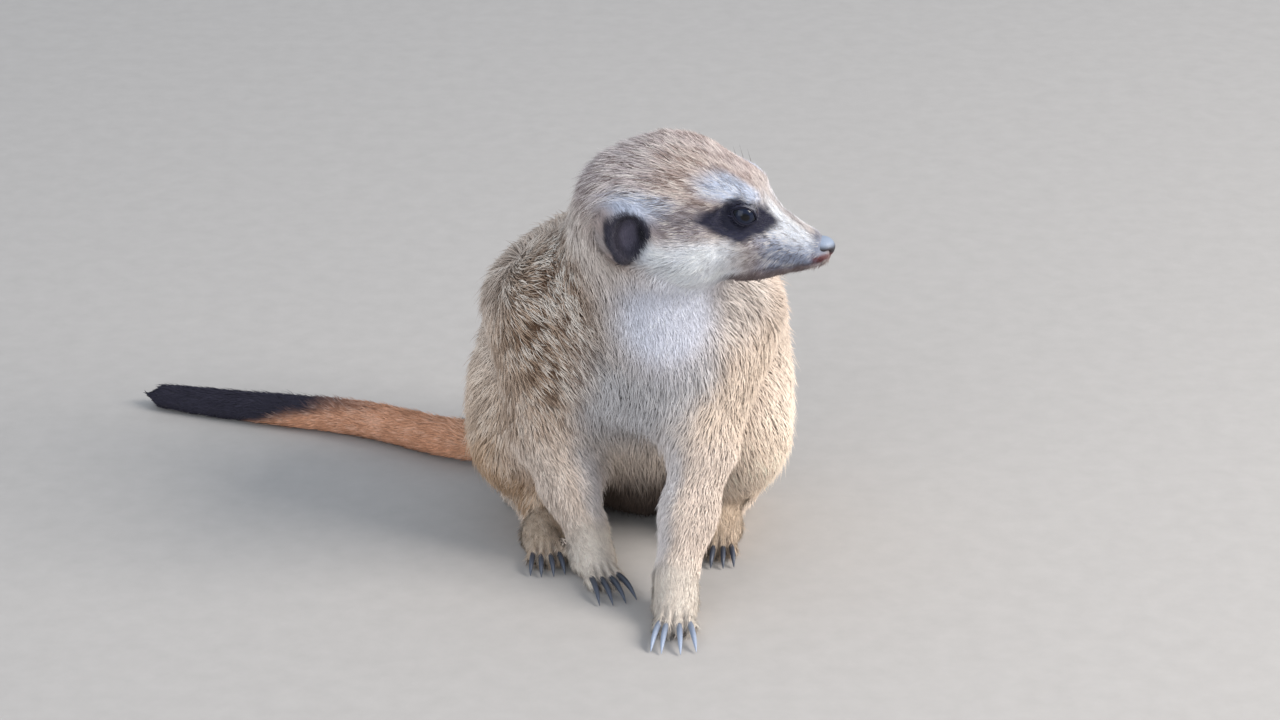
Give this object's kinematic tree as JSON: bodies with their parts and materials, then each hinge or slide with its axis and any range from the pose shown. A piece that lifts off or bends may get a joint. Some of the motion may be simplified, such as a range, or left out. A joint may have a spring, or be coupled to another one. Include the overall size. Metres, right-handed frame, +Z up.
{
  "type": "meerkat model",
  "caption": "Life-size still meerkat, sitting with forepaws planted in front, head turned to its left and tail laid out over the floor.",
  "frame": {"origin": "on the floor, in the middle of the whole model's box", "axes": "+Z up; +X to the animal's left, which is where its nose points; -Y the way its chest and forepaws face"},
  "size_m": [0.2444, 0.2022, 0.1582],
  "materials": {
    "coat": "short grizzled tan fur with dark bands over the back",
    "pale_coat": "short pale grey to cream fur",
    "tail_coat": "short rusty tan fur",
    "tail_tip_coat": "short black fur",
    "dark_coat": "thin black fur over skin",
    "nose_leather": "damp dark nose leather",
    "claw_horn": "smooth dark blue-grey horn",
    "eye": "wet dark brown eye"
  },
  "bodies": {
    "root": {"claw_forepaw_left_1": "claw_horn", "claw_forepaw_left_2": "claw_horn", "claw_forepaw_left_3": "claw_horn", "claw_forepaw_left_4": "claw_horn", "claw_forepaw_right_1": "claw_horn", "claw_forepaw_right_2": "claw_horn", "claw_forepaw_right_3": "claw_horn", "claw_forepaw_right_4": "claw_horn", "claw_hindfoot_left_1": "claw_horn", "claw_hindfoot_left_2": "claw_horn", "claw_hindfoot_left_3": "claw_horn", "claw_hindfoot_left_4": "claw_horn", "claw_hindfoot_right_1": "claw_horn", "claw_hindfoot_right_2": "claw_horn", "claw_hindfoot_right_3": "claw_horn", "claw_hindfoot_right_4": "claw_horn", "ear_left": "dark_coat", "ear_right": "dark_coat", "eye_left": "eye", "eye_right": "eye", "foreleg_left_lower": "pale_coat", "foreleg_left_upper": "coat", "foreleg_right_lower": "pale_coat", "foreleg_right_upper": "coat", "forepaw_left": "pale_coat", "forepaw_right": "pale_coat", "head": "pale_coat", "hindfoot_left": "pale_coat", "hindfoot_right": "pale_coat", "hindleg_left": "coat", "hindleg_right": "coat", "neck": "pale_coat", "nose": "nose_leather", "tail_base": "tail_coat", "tail_middle": "tail_coat", "tail_tip": "tail_tip_coat", "trunk": "coat"}
  },
  "joints": []
}
